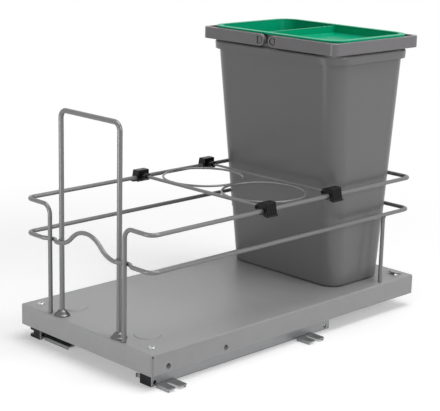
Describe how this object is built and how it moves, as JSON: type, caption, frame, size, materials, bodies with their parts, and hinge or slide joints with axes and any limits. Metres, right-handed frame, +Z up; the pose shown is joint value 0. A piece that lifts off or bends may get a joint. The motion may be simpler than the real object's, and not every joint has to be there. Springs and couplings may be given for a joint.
{
  "type": "pull-out base cabinet organiser",
  "caption": "Sliding steel tray on telescopic runners with a wire basket, handle hoop, sliding dividers, bottle rings and a lift-out bin with caddy.",
  "frame": {"origin": "middle of the footprint, at the level of the cabinet floor that the feet stand on", "axes": "+Z up, +Y towards the back of the cabinet, +X to the right of somebody who stands in front of it; the tray pulls out along -Y"},
  "size_m": [0.2362, 0.43, 0.3355],
  "materials": {
    "grey_coated_steel": "satin epoxy coat",
    "bright_zinc": "bright zinc",
    "satin_collar": "satin",
    "zinc_rail_steel": "zinc plated sheet",
    "cage_steel": "thin pressed strip",
    "ball_steel": "polished",
    "black_nylon": "moulded, faint sheen",
    "bin_grey_plastic": "fine satin grain",
    "handle_grey_plastic": "fine satin grain",
    "pin_grey_plastic": "satin",
    "green_plastic": "semi gloss"
  },
  "bodies": {
    "cabinet_rails": {"cabinet_rail_left": "zinc_rail_steel", "cabinet_rail_right": "zinc_rail_steel", "front_foot_left": "zinc_rail_steel", "front_foot_right": "zinc_rail_steel", "rear_foot_left": "zinc_rail_steel", "rear_foot_right": "zinc_rail_steel", "foot_rivets": "bright_zinc"},
    "carriage": {"tray": "grey_coated_steel", "deck_screws": "bright_zinc", "top_rail": "grey_coated_steel", "lower_rail": "grey_coated_steel", "side_posts": "grey_coated_steel", "rear_uprights": "grey_coated_steel", "handle_hoop": "grey_coated_steel", "handle_feet": "satin_collar", "handle_screws": "bright_zinc", "deck_rail_left": "zinc_rail_steel", "deck_rail_right": "zinc_rail_steel", "front_clip_left": "black_nylon", "front_clip_right": "black_nylon", "lever_pin": "bright_zinc"},
    "middle_rail_left": {"middle_rail_left": "zinc_rail_steel"},
    "lower_cage_left": {"lower_cage_left": "cage_steel", "lower_balls_left": "ball_steel"},
    "upper_cage_left": {"upper_cage_left": "cage_steel", "upper_balls_left": "ball_steel"},
    "middle_rail_right": {"middle_rail_right": "zinc_rail_steel"},
    "lower_cage_right": {"lower_cage_right": "cage_steel", "lower_balls_right": "ball_steel"},
    "upper_cage_right": {"upper_cage_right": "cage_steel", "upper_balls_right": "ball_steel"},
    "front_divider": {"front_divider_rod": "grey_coated_steel", "front_divider_clip_left": "black_nylon", "front_divider_clip_right": "black_nylon", "bottle_ring_left": "grey_coated_steel", "bottle_ring_right": "grey_coated_steel"},
    "rear_divider": {"rear_divider_rod": "grey_coated_steel", "rear_divider_clip_left": "black_nylon", "rear_divider_clip_right": "black_nylon"},
    "bin": {"bin_body": "bin_grey_plastic", "handle_pivots": "pin_grey_plastic"},
    "bin_handle_left": {"bin_handle_left": "handle_grey_plastic"},
    "bin_handle_right": {"bin_handle_right": "handle_grey_plastic"},
    "caddy": {"caddy": "green_plastic"},
    "release_lever": {"release_lever": "bright_zinc"}
  },
  "joints": [
    {"name": "carriage_slide", "type": "slide", "parent": "cabinet_rails", "child": "carriage", "axis": [0, -1, 0], "range_m": [0, 0.3]},
    {"name": "lower_cage_left_slide", "type": "slide", "parent": "cabinet_rails", "child": "lower_cage_left", "axis": [0, -1, 0], "range_m": [0, 0.075]},
    {"name": "middle_rail_left_slide", "type": "slide", "parent": "cabinet_rails", "child": "middle_rail_left", "axis": [0, -1, 0], "range_m": [0, 0.15]},
    {"name": "upper_cage_left_slide", "type": "slide", "parent": "cabinet_rails", "child": "upper_cage_left", "axis": [0, -1, 0], "range_m": [0, 0.225]},
    {"name": "lower_cage_right_slide", "type": "slide", "parent": "cabinet_rails", "child": "lower_cage_right", "axis": [0, -1, 0], "range_m": [0, 0.075]},
    {"name": "middle_rail_right_slide", "type": "slide", "parent": "cabinet_rails", "child": "middle_rail_right", "axis": [0, -1, 0], "range_m": [0, 0.15]},
    {"name": "upper_cage_right_slide", "type": "slide", "parent": "cabinet_rails", "child": "upper_cage_right", "axis": [0, -1, 0], "range_m": [0, 0.225]},
    {"name": "front_divider_slide", "type": "slide", "parent": "carriage", "child": "front_divider", "axis": [0, 1, 0], "range_m": [-0.14, 0.003]},
    {"name": "rear_divider_slide", "type": "slide", "parent": "carriage", "child": "rear_divider", "axis": [0, 1, 0], "range_m": [-0.003, 0.01]},
    {"name": "bin_lift", "type": "slide", "parent": "carriage", "child": "bin", "axis": [0, 0, 1], "range_m": [0, 0.14]},
    {"name": "bin_handle_left_hinge", "type": "hinge", "parent": "bin", "child": "bin_handle_left", "pos_m": [-0.0171, 0.13025, 0.3267], "axis": [0, 1, 0], "range_deg": [0, 90]},
    {"name": "bin_handle_right_hinge", "type": "hinge", "parent": "bin", "child": "bin_handle_right", "pos_m": [0.0029, 0.13025, 0.3267], "axis": [0, -1, 0], "range_deg": [0, 90]},
    {"name": "caddy_lift", "type": "slide", "parent": "bin", "child": "caddy", "axis": [0, 0, 1], "range_m": [0, 0.06]},
    {"name": "release_lever_hinge", "type": "hinge", "parent": "carriage", "child": "release_lever", "pos_m": [0.0799, -0.2053, 0.0068], "axis": [0, 0, 1], "range_deg": [0, 12], "stiffness_Nm_per_rad": 0.02}
  ],
  "couplings": [
    {"joint": "lower_cage_left_slide", "follows": "carriage_slide", "ratio": 0.25},
    {"joint": "middle_rail_left_slide", "follows": "carriage_slide", "ratio": 0.5},
    {"joint": "upper_cage_left_slide", "follows": "carriage_slide", "ratio": 0.75},
    {"joint": "lower_cage_right_slide", "follows": "carriage_slide", "ratio": 0.25},
    {"joint": "middle_rail_right_slide", "follows": "carriage_slide", "ratio": 0.5},
    {"joint": "upper_cage_right_slide", "follows": "carriage_slide", "ratio": 0.75}
  ]
}
